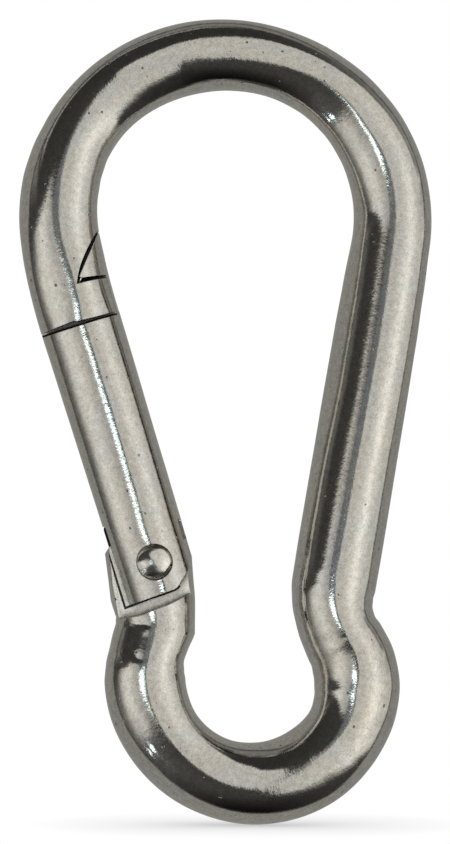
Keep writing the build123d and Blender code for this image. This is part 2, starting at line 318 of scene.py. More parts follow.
def make_object(name, verts, faces, mats, slots=None, uvs=()):
    """Object from points in mm, with its normals turned outwards."""
    mesh = bpy.data.meshes.new(name)
    mesh.from_pydata([tuple(v) for v in (np.asarray(verts) * MM).tolist()], [], faces)
    for uv_name, uv in zip(UV_NAMES, uvs):
        layer = mesh.uv_layers.new(name=uv_name)
        layer.data.foreach_set("uv", np.asarray(uv, np.float32).ravel())
    if slots is not None:
        mesh.polygons.foreach_set("material_index", np.asarray(slots, np.int32))
    mesh.validate()
    mesh.update()
    ob = bpy.data.objects.new(name, mesh)
    scene.collection.objects.link(ob)
    for mat in mats:
        mesh.materials.append(mat)
    bm = bmesh.new()
    bm.from_mesh(mesh)
    bmesh.ops.recalc_face_normals(bm, faces=bm.faces)
    bm.to_mesh(mesh)
    bm.free()
    return ob


def ring_faces(rings, count):
    """Side faces through rings of count points, then the first and last cap."""
    faces = []
    for i in range(rings - 1):
        for j in range(count):
            k = (j + 1) % count
            faces.append((i * count + j, (i + 1) * count + j, (i + 1) * count + k, i * count + k))
    last = (rings - 1) * count
    faces.append(tuple(range(count)))
    faces.append(tuple(last + j for j in reversed(range(count))))
    return faces


def ring_angles():
    return np.arange(RING) * 360.0 / RING


def bar_object(name, points, stations, mats, caps):
    """Closed bar through rings of points; caps holds the slots of its two ends."""
    faces = ring_faces(len(stations), RING)
    turn = np.radians(ring_angles())
    across, depth = BAR_R * np.cos(turn), BAR_R * np.sin(turn)
    corners = [v for face in faces for v in face]
    uv_a = np.array([(stations[v // RING], across[v % RING]) for v in corners]) * UV_PER_MM
    uv_b = np.array([(depth[v % RING], 0) for v in corners]) * UV_PER_MM
    slots = [SKIN] * (len(faces) - 2) + list(caps)
    return make_object(name, points.reshape(-1, 3), faces, mats, slots, (uv_a, uv_b))


def hook_tube(name, stations, mats, caps, shrink=0.0):
    """Length of the hook's bar through the given arc lengths."""
    x, z, heading = centre_at(stations)
    half = width_at(stations) / 2 - shrink
    along, around = np.meshgrid(stations, ring_angles(), indexing="ij")
    skin = relief(along.ravel(), around.ravel()).reshape(along.shape)
    turn = np.radians(around)
    fade = smooth01((S_KINK + 4.0 - stations) / 2.0)[:, None]
    depth = section(half, shape_at(BAR_SHAPE, stations) * fade, shrink) + skin * np.sin(turn)
    across = (half[:, None] + skin) * np.cos(turn)
    px = x[:, None] + across * np.cos(heading)[:, None]
    pz = z[:, None] - across * np.sin(heading)[:, None]
    return bar_object(name, np.stack([px, -depth, pz], -1), stations, mats, caps)


def lathe(name, origin, axis, ref, profile, count, mats, slot, wobble=None):
    """Closed turned body; profile holds (radius, height along axis)."""
    axis, ref, origin = Vector(axis).normalized(), Vector(ref).normalized(), Vector(origin)
    side = axis.cross(ref)
    verts = []
    for radius, height in profile:
        for j in range(count):
            t = 2 * math.pi * j / count
            r, h = wobble(radius, height, t) if wobble else (radius, height)
            verts.append(tuple(origin + axis * h + (ref * math.cos(t) + side * math.sin(t)) * r))
    faces = ring_faces(len(profile), count)
    return make_object(name, verts, faces, mats, [slot] * len(faces))


def boolean(target, cutter, op="DIFFERENCE"):
    """Apply a boolean to target and delete the cutter."""
    modifier = target.modifiers.new("cut", "BOOLEAN")
    modifier.operation, modifier.solver, modifier.object = op, "EXACT", cutter
    graph = bpy.context.evaluated_depsgraph_get()
    graph.update()
    mesh = bpy.data.meshes.new_from_object(target.evaluated_get(graph),
                                           preserve_all_data_layers=True, depsgraph=graph)
    old = target.data
    target.modifiers.clear()
    target.data = mesh
    bpy.data.meshes.remove(old)
    cutter_mesh = cutter.data
    bpy.data.objects.remove(cutter)
    bpy.data.meshes.remove(cutter_mesh)


def loft(start, end, mats, slot):
    """Closed cutter between two equal outlines of (x, y, z)."""
    n = len(start)
    faces = [tuple(range(n)), tuple(reversed(range(n, 2 * n)))]
    faces += [(i, (i + 1) % n, n + (i + 1) % n, n + i) for i in range(n)]
    return make_object("cutter", start + end, faces, mats, [slot] * len(faces))


def carve(target, mats, outline, slot, *spans, op="DIFFERENCE"):
    """Boolean with an (a, b) outline, once for each span of y."""
    flat = [from_gate(a, b) for a, b in outline]
    for span in spans:
        start, end = ([(x, y, z) for x, z in flat] for y in span)
        boolean(target, loft(start, end, mats, slot), op)


def carve_across(target, mats, outline, slot):
    """Cut with a (y, b) outline right across the gate."""
    ends = []
    for a in (-9, 9):
        placed = [(y, from_gate(a, b)) for y, b in outline]
        ends.append([(x, y, z) for y, (x, z) in placed])
    boolean(target, loft(*ends, mats, slot))


def drill(target, mats, slot, radius, start, length, axis=(0, 1, 0), ref=(1, 0, 0), count=64):
    profile = [(radius, 0), (radius, length)]
    boolean(target, lathe("cutter", start, axis, ref, profile, count, mats, slot))


def spline(points, per):
    """Centripetal Catmull-Rom curve through points, with per steps a span."""
    p = [np.array(q, float) for q in points]
    p = [2 * p[0] - p[1]] + p + [2 * p[-1] - p[-2]]
    out = []
    for i in range(1, len(p) - 2):
        t = [0.0]
        for k in range(3):
            t.append(t[-1] + max(1e-6, np.linalg.norm(p[i + k] - p[i + k - 1])) ** 0.5)
        for j in range(per):
            u = t[1] + (t[2] - t[1]) * j / per
            a = [(t[k + 1] - u) / (t[k + 1] - t[k]) * p[i - 1 + k]
                 + (u - t[k]) / (t[k + 1] - t[k]) * p[i + k] for k in range(3)]
            b = [(t[k + 2] - u) / (t[k + 2] - t[k]) * a[k]
                 + (u - t[k]) / (t[k + 2] - t[k]) * a[k + 1] for k in range(2)]
            out.append(tuple((t[2] - u) / (t[2] - t[1]) * b[0]
                             + (u - t[1]) / (t[2] - t[1]) * b[1]))
    out.append(tuple(p[-2]))
    return out


def finish_mesh(ob, weld=0.0):
    """Clean up, and shade smooth except at edges over 32 degrees."""
    bm = bmesh.new()
    bm.from_mesh(ob.data)
    if weld:
        bmesh.ops.remove_doubles(bm, verts=bm.verts, dist=weld * MM)
    bmesh.ops.dissolve_degenerate(bm, edges=bm.edges, dist=0.002 * MM)
    for face in bm.faces:
        face.smooth = True
    bm.to_mesh(ob.data)
    bm.free()
    ob.data.set_sharp_from_angle(angle=math.radians(32.0))


# ------------------------------------------------------------------ shader helpers
def cleared_tree(owner):
    owner.use_nodes = True
    owner.node_tree.nodes.clear()
    return owner.node_tree


def add_node(tree, kind, inputs=(), **settings):
    """Add a shader node; each input is a Value or socket to link, or a constant."""
    node = tree.nodes.new("ShaderNode" + kind)
    for key, value in settings.items():
        setattr(node, key, value)
    for key, value in dict(inputs).items():
        if isinstance(value, Value):
            value = value.socket
        if isinstance(value, bpy.types.NodeSocket):
            tree.links.new(value, node.inputs[key])
        else:
            node.inputs[key].default_value = value
    return node


def calc(op, *args):
    """Math node on Values and numbers."""
    tree = next(arg.tree for arg in args if isinstance(arg, Value))
    return Value(tree, add_node(tree, "Math", enumerate(args), operation=op).outputs[0])


class Value:
    """A shader value that can be added and multiplied like a number."""

    def __init__(self, tree, socket):
        self.tree = tree
        self.socket = socket

    def __add__(self, other):
        return calc("ADD", self, other)

    def __radd__(self, other):
        return calc("ADD", other, self)

    def __sub__(self, other):
        return calc("SUBTRACT", self, other)

    def __rsub__(self, other):
        return calc("SUBTRACT", other, self)

    def __mul__(self, other):
        return calc("MULTIPLY", self, other)

    def __rmul__(self, other):
        return calc("MULTIPLY", other, self)

    def __truediv__(self, other):
        return calc("DIVIDE", self, other)


def ramp(value, start, end):
    """Smooth step, 0 at start and 1 at end."""
    node = add_node(value.tree, "MapRange", {"Value": value, "From Min": start, "From Max": end},
                    interpolation_type="SMOOTHSTEP")
    return Value(value.tree, node.outputs["Result"])


def blend(first, second, amount):
    return first + (second - first) * amount


def length(x, y):
    return calc("SQRT", x * x + y * y)


def oval_radius(p, q, centre, radii):
    """Distance from centre, 1 on the oval."""
    dx = (p - centre[0]) * (1.0 / radii[0])
    dy = (q - centre[1]) * (1.0 / radii[1])
    return length(dx, dy)


# ------------------------------------------------------------------ studio
# The light tent is described by the half-way direction between the view and the reflected ray:
# (p, q) is where a mirror ball would show it, p to the right and q up. It turns with the
# camera, so that the hook is lit the same way from every side.
REFLECTANCE = 0.60            # what the steel gives back
TONES = {                     # display brightness, or what a part adds to it
    "room": 0.2044, "add_lower_left": 0.179, "add_top": -0.0278, "add_dark_oval": -0.2011,
    "glow": 0.7028,
    "window": 0.6513, "add_window_core": 0.1338, "add_window_band": 0.0482,
    "left_window": 0.5758, "add_left_band": 0.1615,
    "beyond_seam": 0.4061, "seam": 0.5855,
    "table": 0.455, "table_edge": 0.22, "disc": 0.37}
# Red, green, blue of the general light, of the dark disc and of the lamps
TINTS = ((1.02, 0.95, 0.80), (1.0, 1.02, 0.97), (0.945, 1.06, 1.0))


def tent(p, q):
    """Display brightness of the tent at (p, q)."""
    def oval(centre, radii):
        return oval_radius(p, q, centre, radii) - 1.0

    def inside(distance, soft):
        return ramp(distance, start=soft, end=-soft)

    rho = length(p, q)
    # dark room
    light = TONES["room"] + (TONES["add_lower_left"] * ramp(p, start=0.1, end=-0.5)
                             * ramp(q, start=0.1, end=-0.4))
    light = light + TONES["add_top"] * ramp(q, start=0.0, end=0.5)
    dark = oval(centre=(-0.3566, -0.7746), radii=(0.5861, 0.4028))
    light = light + TONES["add_dark_oval"] * ramp(dark, start=0.6, end=-0.8)
    glow = oval(centre=(1.2453, 0.576), radii=(0.6179, 0.7216))
    light = blend(light, TONES["glow"], inside(glow, soft=0.9194))
    # large soft window on the right: two ovals cut off by a slanting line
    main = inside(oval(centre=(0.2646, 0.1038), radii=(0.4167, 0.4406)), soft=0.026)
    wing = inside(oval(centre=(0.5929, -0.1027), radii=(0.6476, 0.3097)), soft=0.1453)
    slant, cut_off, cut_soft = 0.355, -0.0297, 0.012
    window = calc("MAXIMUM", main, wing) * ramp(
        math.cos(slant) * p + math.sin(slant) * q - cut_off, start=-cut_soft, end=cut_soft)
    core = oval(centre=(0.3813, -0.0688), radii=(0.1519, 0.34))
    tone = TONES["window"] + TONES["add_window_core"] * ramp(core, start=1.0, end=-1.0)
    band_p = 0.3984
    tone = tone + (TONES["add_window_band"]
                   * ramp(calc("ABSOLUTE", p - band_p), start=0.14, end=0.0)
                   * ramp(q, start=0.2, end=-0.1))
    light = blend(light, tone, window)
    # smaller window on the left: two upper edges and a lower one, each positive inside
    soft = 0.022
    upper_right = -0.014 - 0.348 * (p + 0.03) - q
    upper_left = 0.068 + 0.25 * (p + 0.30) - q
    lower = q + 0.014 - 0.752 * (p + 0.03)
    window = (ramp(upper_right, start=-soft, end=soft) * ramp(upper_left, start=-soft, end=soft)
              * ramp(lower, start=-soft * 1.4, end=soft * 1.4))
    window = window * ramp(rho, start=0.7, end=0.52) * ramp(p, start=0.0, end=-0.03)
    band_rho = 0.4312
    tone = TONES["left_window"] + (TONES["add_left_band"]
                                   * ramp(calc("ABSOLUTE", rho - band_rho), start=0.2436, end=0.0)
                                   * ramp(q, start=-0.35, end=-0.12))
    light = blend(light, tone, window)
    # seam of the tent, upper left
    seam = oval_radius(p, q, centre=(0.0501, 0.3186), radii=(0.6981, 0.3932))
    light = blend(light, TONES["beyond_seam"],
                  ramp(seam, start=1.04, end=1.09) * ramp(q, start=0.02, end=0.2))
    light = blend(light, TONES["seam"], ramp(calc("ABSOLUTE", seam - 1.0), start=0.045, end=0.0)
                  * ramp(p, start=0.15, end=-0.05) * ramp(q, start=0.14, end=0.3))
    # pale table seen at grazing angles, with a dark line at its edge
    table_p, table_q, edge, strength = 0.0203, 0.0754, 0.762, 1.01
    out = length(p - table_p, q - table_q)
    light = blend(light, TONES["table"], ramp(out, start=0.750, end=0.785) * strength)
    edge_strength = 0.8
    light = blend(light, TONES["table_edge"],
                  ramp(calc("ABSOLUTE", out - edge), start=0.026, end=0.0) * edge_strength)
    return blend(light, TONES["disc"], dark_disc(p, q))


def dark_disc(p, q):
    """Small soft oval just left of the middle."""
    left, up = 0.10, 0.012
    half_width, half_height = 0.080, 0.050
    dx, dy = (p + left) * (1.0 / half_width), (q - up) * (1.0 / half_height)
    return ramp(length(dx, dy), start=1.2, end=0.75)


def lamp(p, q, centre, angle, radii, strength, soft):
    """Small bare lamp: an oval turned by angle (radians)."""
    c, s = math.cos(angle), math.sin(angle)
    u = ((p - centre[0]) * c + (q - centre[1]) * s) * (1.0 / radii[0])
    v = ((q - centre[1]) * c - (p - centre[0]) * s) * (1.0 / radii[1])
    return ramp(length(u, v), start=1.0, end=1.0 - soft) * strength


def make_world():
    world = bpy.data.worlds.new("tent")
    scene.world = world
    tree = cleared_tree(world)
    coords = add_node(tree, "TexCoord")
    to_camera = add_node(tree, "VectorTransform", {0: coords.outputs["Generated"]},
                         vector_type="VECTOR", convert_from="WORLD", convert_to="CAMERA")
    split = add_node(tree, "SeparateXYZ", {0: to_camera.outputs[0]})
    x, y, z = (Value(tree, socket) for socket in split.outputs)
    least = 0.0004            # keeps the division below finite
    squared = calc("MAXIMUM", 2.0 - 2.0 * z,
                   Value(tree, add_node(tree, "Value").outputs[0]) * 0.0 + least)
    half = calc("SQRT", squared)
    p, q = x / half, y / half
    light = tent(p, q)
    darkest, gamma = 0.001, 2.2
    light = calc("POWER", calc("MAXIMUM", light, light * 0.0 + darkest), gamma)
    light = light * (1.0 / REFLECTANCE)
    lamps = lamp(p, q, centre=(-0.112, -0.034), angle=0.06, radii=(0.080, 0.018),
                 strength=3.4, soft=0.7)
    lamps = lamps + lamp(p, q, centre=(-0.370, -0.315), angle=0.8, radii=(0.050, 0.018),
                         strength=4.0, soft=0.6)
    lamps = lamps + lamp(p, q, centre=(-0.440, -0.385), angle=0.9, radii=(0.030, 0.013),
                         strength=4.0, soft=0.6)
    disc = dark_disc(p, q)
    channels = [light * (general + disc * (in_disc - general)) + lamps * in_lamp
                for general, in_disc, in_lamp in TINTS]
    colour = add_node(tree, "CombineColor", enumerate(channels))
    tent_light = add_node(tree, "Background", {"Color": colour.outputs[0]})
    white = add_node(tree, "Background", {"Color": (1, 1, 1, 1)})
    path = add_node(tree, "LightPath")        # the camera itself sees plain white
    mix = add_node(tree, "MixShader", {0: path.outputs["Is Camera Ray"],
                                       1: tent_light.outputs[0], 2: white.outputs[0]})
    add_node(tree, "OutputWorld", {"Surface": mix.outputs[0]})


def make_camera():
    camera = bpy.data.objects.new("camera", bpy.data.cameras.new("camera"))
    scene.collection.objects.link(camera)
    camera.data.lens, camera.data.sensor_width = 200, 36
    camera.data.clip_start, camera.data.clip_end = 0.01, 10      # metres
    camera.location = (-2.776 * MM, -464.8 * MM, 25.477 * MM)
    camera.rotation_euler = (math.pi / 2, 0, 0)
    scene.camera = camera


def make_floor():
    """White paper just under the hook, evenly bright but for a painted contact shadow; sizes in
    metres.
    """
    cells, reach = 24, 1.5
    z = cad_lo.z - 0.00004
    verts = [(-reach + 2 * reach * i / cells, -reach + 2 * reach * j / cells, z)
             for i in range(cells + 1) for j in range(cells + 1)]
    faces = []
    for i in range(cells):
        for j in range(cells):
            a = i * (cells + 1) + j
            faces.append((a, a + cells + 1, a + cells + 2, a + 1))
    mesh = bpy.data.meshes.new("floor")
    mesh.from_pydata(verts, [], faces)
    ob = bpy.data.objects.new("floor", mesh)
    scene.collection.objects.link(ob)
    paper = bpy.data.materials.new("floor_paper")
    tree = cleared_tree(paper)
    # painted contact shadow: ambient occlusion darkens the glowing white near the hook
    contact_shadow = add_node(tree, "AmbientOcclusion", {"Distance": 0.012}, samples=8)
    tone = add_node(tree, "MapRange", {"Value": contact_shadow.outputs["AO"], "To Min": 0.55})
    glow = add_node(tree, "Emission", {"Color": tone.outputs["Result"]})
    add_node(tree, "OutputMaterial", {"Surface": glow.outputs[0]})
    mesh.materials.append(paper)
    ob.visible_glossy = ob.visible_diffuse = ob.visible_shadow = False


# ------------------------------------------------------------------ materials
# Painted shade in corners and gaps, from ambient occlusion: reach (metres), the openness where
# it is full and where it is gone, and the brightness left under full shade
CornerShade = namedtuple("CornerShade", "reach full gone left")
BUMP_HEIGHT = 0.0000120       # metres
HEIGHTS = {"grain": 0.50, "fine": 0.26, "pit": 2.2}
ROUGHNESS = {"smear": 0.08, "fine": 0.04, "pit": 0.25, "edge_wear_and_highlight": 0.30}
SHADES = {"cloud": 0.10, "grain": 0.60, "fine": 0.70, "edge_wear_and_highlight": 0.10, "pit": 0.6}
RUST = (0.16, 0.0, -0.22)     # red, green, blue shift in the grain


def bar_coordinates(tree):
    """The bar rolled out straight, from its two UV maps."""
    maps = [add_node(tree, "UVMap", uv_map=name) for name in UV_NAMES]
    first, second = (add_node(tree, "SeparateXYZ", {0: uv.outputs[0]}) for uv in maps)
    joined = add_node(tree, "CombineXYZ", {0: first.outputs[0], 1: first.outputs[1],
                                           2: second.outputs[0]})
    return joined.outputs[0]


def steel(name, rough=0.09, on_bar=False, base=(0.66, 0.645, 0.605), pits=1.0, milled=0.0,
          hammer=0.0, corner_shade=CornerShade(0.0004, 0.15, 0.65, 0.35), tick=0.22, tilt=None):
    """Bare stainless: orange peel, fine polishing marks, small pits and grey dust in them.

    milled, hammer and tick are heights of tool marks, dents and polishing marks; tilt is a
    vector added to the normal, for tool marks whose facets all lean one way.
    """
    material = bpy.data.materials.new(name)
    material.diffuse_color = (0.6, 0.59, 0.57, 1)
    tree = cleared_tree(material)
    if on_bar:
        vector = bar_coordinates(tree)
        unit = 1 / UV_PER_MM                  # mm in a coordinate unit
    else:
        vector = add_node(tree, "TexCoord").outputs["Object"]
        unit = 1 / MM

    def noise(size, detail, roughness, stretch=(1, 1, 1), shift=0.0):
        """Noise of a size in mm; stretch multiplies its frequency along each axis."""
        mapping = add_node(tree, "Mapping", {
            "Vector": vector, "Scale": tuple(unit / size * k for k in stretch),
            "Location": (shift, shift * 0.7, shift * 1.3)})
        node = add_node(tree, "TexNoise", {
            "Scale": 1.0, "Detail": detail, "Roughness": roughness, "Vector": mapping.outputs[0]})
        return Value(tree, node.outputs["Fac"])

    grain = noise(0.55, detail=2.0, roughness=0.55)
    ticks = noise(0.9, detail=2.0, roughness=0.6, stretch=(3.6, 1.0, 1.0), shift=3.1)
    fine = noise(0.16, detail=1.0, roughness=0.5, shift=7.7)
    cloud = noise(6.0, detail=3.0, roughness=0.6, shift=1.7)
    smear = noise(2.2, detail=3.0, roughness=0.6, stretch=(0.35, 1.0, 1.0), shift=5.3)
    # pits: some cells, each of a random size
    pit_spacing, size_spread = 1.15, 0.10
    mapping = add_node(tree, "Mapping", {"Vector": vector, "Scale": (unit / pit_spacing,) * 3})
    cells = add_node(tree, "TexVoronoi", {"Scale": 1.0, "Vector": mapping.outputs[0]})
    random = add_node(tree, "SeparateColor", {0: cells.outputs["Color"]})
    size = Value(tree, random.outputs[0])
    near = ramp(Value(tree, cells.outputs["Distance"]) + size * size_spread, start=0.16, end=0.09)
    pit = near * ramp(Value(tree, random.outputs[1]), start=0.52, end=0.60) * pits
    # bump, on normals rounded at the edges
    height = grain * HEIGHTS["grain"] + ticks * tick + fine * HEIGHTS["fine"]
    if milled:
        lines = noise(0.5, detail=2.0, roughness=0.6, stretch=(0.25, 4.0, 1.0), shift=9.1)
        height = height + lines * milled
    if hammer:
        height = height + noise(1.3, detail=2.0, roughness=0.6, shift=2.9) * hammer
    rounded = add_node(tree, "Bevel", {"Radius": 0.00011}, samples=4).outputs[0]
    normal = add_node(tree, "Bump", {
        "Strength": 1.0, "Distance": BUMP_HEIGHT, "Height": height - pit * HEIGHTS["pit"],
        "Normal": rounded}).outputs[0]
    geometry = add_node(tree, "NewGeometry")
    dot = add_node(tree, "VectorMath", {0: rounded, 1: geometry.outputs["Normal"]},
                   operation="DOT_PRODUCT")
    # rounded edges: rougher, as wear, and lighter in colour, a painted highlight along the edges
    edge_wear_and_highlight = ramp(Value(tree, dot.outputs["Value"]), start=0.985, end=0.86)
    if tilt:
        leaning = add_node(tree, "VectorMath", {0: normal, 1: tilt}, operation="ADD")
        normal = add_node(tree, "VectorMath", {0: leaning.outputs[0]},
                          operation="NORMALIZE").outputs[0]
    roughness = (rough + (smear - 0.5) * ROUGHNESS["smear"] + (fine - 0.5) * ROUGHNESS["fine"]
                 + pit * ROUGHNESS["pit"] + edge_wear_and_highlight * ROUGHNESS["edge_wear_and_highlight"])
    # colour: slight clouds, dust in the pits, painted shade in tight corners, a painted highlight
    # on rounded edges, rust in the grain
    corners = add_node(tree, "AmbientOcclusion", {"Distance": corner_shade.reach}, samples=4)
    unshaded = ramp(Value(tree, corners.outputs["AO"]), start=corner_shade.full, end=corner_shade.gone)
    shade = (1.0 + (cloud - 0.5) * SHADES["cloud"] + (grain - 0.5) * SHADES["grain"]
             + (fine - 0.5) * SHADES["fine"] + edge_wear_and_highlight * SHADES["edge_wear_and_highlight"])
    shade = shade * (1.0 - pit * SHADES["pit"]) * (corner_shade.left + unshaded * (1.0 - corner_shade.left))
    channels = [shade * (tone + (smear - 0.5) * (grain * rust)) for tone, rust in zip(base, RUST)]
    colour = add_node(tree, "CombineColor", enumerate(channels))
    surface = add_node(tree, "BsdfPrincipled", {
        "Metallic": 1.0, "Normal": normal, "Roughness": roughness,
        "Base Color": colour.outputs[0]})
    add_node(tree, "OutputMaterial", {"Surface": surface.outputs[0]})
    return material


steel_bar = steel("polished_stainless_bar", on_bar=True, tick=0.16)
steel_joint = steel("joint_plane", on_bar=True)
# milled flats: real tool marks and pits; the near-white base colour is painted light on the flats,
# and the strong corner shade is a painted shadow along the gate's edges
steel_milled_lit = steel("milled_stainless_painted_light", rough=0.27, milled=0.7, pits=1.4, hammer=0.8,
                     base=(0.98, 0.95, 0.90), corner_shade=CornerShade(0.0009, 0.48, 0.95, 0.05),
                     tilt=(0.15, 0.0, 0.02))
steel_gate = steel("polished_stainless_gate", on_bar=True, tick=0.75)
steel_seat = steel("rivet_seat", rough=0.3, corner_shade=CornerShade(0.0003, 0.1, 0.6, 0.55))
# steel inside joints and slots: darker base colour and strong corner shade, a painted shade for the
# gaps
steel_slot_shaded = steel("slot_steel_painted_shade", rough=0.40, milled=1.0, base=(0.44, 0.425, 0.39),
                   corner_shade=CornerShade(0.0025, 0.32, 0.88, 0.02))
# nearly black steel: painted shade for the shadowed mouth of the gate's slot
steel_painted_black = steel("shoulder_painted_shade", rough=0.5, milled=1.0, base=(0.03, 0.028, 0.025))
# dark grey copy of the steel: painted shade on the tang's inner corner
steel_shaded_grey = steel("tang_side_painted_shade", rough=0.4, milled=1.0, base=(0.26, 0.25, 0.23))
steel_rivet = steel("peened_stainless", rough=0.19, base=(0.78, 0.76, 0.71), hammer=1.5,
                    corner_shade=CornerShade(0.0003, 0.1, 0.6, 0.6))
steel_turned = steel("turned_stainless", rough=0.24, milled=0.4)
steel_spring = steel("drawn_spring_wire", rough=0.22, base=(0.55, 0.54, 0.52))

# Material slots: the first four are alike on both bars
SKIN, JOINT, MILLED, SLOT = range(4)
SHADED_GREY, BLACK_SHADE = 4, 5           # hook only
SEAT = 4                      # gate only
BAR_MATS = [steel_bar, steel_joint, steel_milled_lit, steel_slot_shaded, steel_shaded_grey, steel_painted_black]
GATE_MATS = [steel_gate, steel_joint, steel_milled_lit, steel_slot_shaded, steel_seat]

# ------------------------------------------------------------------ hook body
# Outlines are (a, b). The two slanting faces between nose and gate head:
SHOULDER_R = 28.39            # shoulder of the nose, about the hinge
NOTCH_FACE = [(0.726, 28.386), (1.447, 29.75), (2.198, 30.773), (3.121, 31.817),
              (4.245, 32.975), (4.62, 33.36)]
HEAD_FACE = [(1.231, 28.99), (1.42, 29.28), (2.017, 29.99), (2.598, 30.69), (3.174, 31.36),
             (4.12, 32.60)]
NOSE_END = [(-9, 20), (9, 20), (9, 24.70), (4.2, 24.72), (1.6, 24.76), (-0.25, 24.86),
            (-0.6, 24.98), (-2.2, 24.88), (-4.2, 24.76), (-9, 24.74)]
NOSE_LIMIT = [(-9, 20), (9, 20), (9, 24.55), (-9, 24.55)]
NOSE_SLOT = [(-0.25, 20), (-0.25, 27.3), (0.1, 28.0), (0.95, 28.6), (7, 28.2), (7, 20)]
# Tang
TANG_STEP = [(-9, -4.2), (-4.63, -4.415), (-2.84, -4.634), (-1.47, -4.50), (0.2, -4.42),
             (2.72, -3.96), (9, -2.8)]
TANG_OUTER = [(-6.2, 0.3), (-5.5, 1.1), (-4.95, 1.65), (-4.46, 2.2), (-3.93, 2.66)]
TANG_TOP = 3.25
TANG_INNER = [(3.50, 3.19), (3.60, 2.9), (3.62, 2.0), (3.60, -0.2), (3.64, -1.05), (9, -2.6),
              (9, 14), (-9, 14), (-9, 0.3)]
SHADE_SPUR = [(-3.93, 2.3), (-3.93, 4.42), (-3.84, 4.66), (-3.50, 4.70), (-3.38, 4.5), (-3.30, 2.6)]
INNER_CORNER = [(3.0, 1.25), (3.615, 1.25), (3.62, 3.00), (3.50, 3.06), (3.36, 3.10),
                (3.22, 3.17), (3.0, 3.26)]
SHADOW_LINE = [(-4.05, 2.2), (-4.05, -3.42), (-3.42, -3.38), (1.05, -3.15), (1.35, -3.07),
         (1.55, -2.94), (1.70, -3.10), (1.46, -3.27), (1.10, -3.37), (-0.6, -3.47),
         (-1.4, -3.44), (-3.42, -3.61), (-4.25, -3.66), (-4.26, -1.0), (-4.17, 2.2)]
ROLL_ENDS = [(-3.94, 2.1), (-4.70, -4.35)]
# Distance outwards of the edge through ROLL_ENDS, y
ROLL_PROFILE = [(-0.10, 1.80), (0.10, 1.742), (0.34, 1.62), (0.58, 1.38), (0.76, 1.05),
                (0.88, 0.60), (0.92, 0.2), (3.0, 0.2), (3.0, 6.0), (-0.10, 6.0)]
# Cam on the tang: a spiral of start radius and growth per radian, followed by a round tip
CAM_START, CAM_LEAD, CAM_TIP_R, CAM_GAP = 4.90, 1.6, 1.5, 0.03


def cam_points():
    """Curve offset inwards from the spiral."""
    out = []
    offset = CAM_TIP_R + CAM_GAP
    for i in range(25):
        t = math.radians(42.0) * i / 24
        r = CAM_START + CAM_LEAD * t
        ta = CAM_LEAD * math.sin(t) + r * math.cos(t)
        tb = CAM_LEAD * math.cos(t) - r * math.sin(t)
        n = math.hypot(ta, tb)
        out.append((r * math.sin(t) + offset * tb / n, r * math.cos(t) - offset * ta / n))
    return out


def build_nose():
    stations = np.arange(0, NOSE_LENGTH + 0.01, 0.2)
    stations[-1] = NOSE_LENGTH
    nose = hook_tube("nose", stations, BAR_MATS, caps=(SKIN, JOINT))
    # the sawn end: a shallow peak at the middle, and lands further in that close the joint
    for span, slot in (((-BEYOND, -1.9), MILLED), ((-1.1, 1.1), SLOT), ((1.9, BEYOND), MILLED)):
        carve(nose, BAR_MATS, NOSE_END, slot, span)
    carve(nose, BAR_MATS, NOSE_LIMIT, SLOT, (-BEYOND, BEYOND))
    far, near = 7.0, NOTCH_FACE[0][0]
    arc = [far + (near - far) * i / 30 for i in range(30)]
    closing = [(far, 33.6)] + [(a, math.sqrt(SHOULDER_R * SHOULDER_R - a * a)) for a in arc]
    carve(nose, BAR_MATS, spline(NOTCH_FACE, 5) + closing, MILLED,
          (1.15, BEYOND), (-BEYOND, -1.15))
    # in the middle a land reaches almost to the head, so that no light shows through the joint
    land = [NOTCH_FACE[0], (0.95, 28.75)]
    land += [(a - 0.035, b + 0.02) for a, b in spline(HEAD_FACE, 5)]
    carve(nose, BAR_MATS, land + [NOTCH_FACE[-1]] + closing, SLOT, (-1.16, 1.16))
    carve(nose, BAR_MATS, NOSE_SLOT, SLOT, (-1.75, 1.75))
    return nose


def build_tang():
    stations = np.arange(S_TANG, S_KINK + TANG_LENGTH + 0.01, 0.2)
    tang = hook_tube("tang", stations, BAR_MATS, caps=(JOINT, SKIN))
    # flats on both faces
    carve(tang, BAR_MATS, spline(TANG_STEP, 4) + [(9, 14), (-9, 14)], MILLED,
          (1.75, BEYOND), (-BEYOND, -1.75))
    cam = cam_points()
    foot = cam[0][0] - (cam[0][1] - TANG_TOP) / (CAM_LEAD / CAM_START)
    top = spline(TANG_OUTER, 6) + spline([(-3.3, 3.08), (-2.6, TANG_TOP)], 4)
    top += [(foot, TANG_TOP)] + cam + TANG_INNER
    carve(tang, BAR_MATS, top, MILLED, (-BEYOND, BEYOND))
    # a thin spur on the tang's shoulder, nearly black: a painted shadow in the mouth of the gate's
    # slot
    carve(tang, BAR_MATS, SHADE_SPUR, BLACK_SHADE, (-1.70, 1.70), op="UNION")
    # a small prism in the inner corner, in dark grey steel: painted shade
    carve(tang, BAR_MATS, INNER_CORNER, SHADED_GREY, (-1.77, 1.77), op="UNION")
    drill(tang, BAR_MATS, MILLED, SHANK_R + 0.04, (HINGE[0], -9, HINGE[1]), 18)
    # a shallow groove along the gate's edge on the flats, in darkened slot steel: a painted shadow
    # line
    carve(tang, BAR_MATS, SHADOW_LINE, SLOT, (-1.9, -1.5), (1.5, 1.9))
    # the flats roll off towards the outer side
    for side in (1, -1):
        ends = []
        for a, b in ROLL_ENDS:
            placed = [(from_gate(a - out, b), y * side) for out, y in ROLL_PROFILE]
            ends.append([(x, y, z) for (x, z), y in placed])
        boolean(tang, loft(*ends, BAR_MATS, MILLED))
    return tang


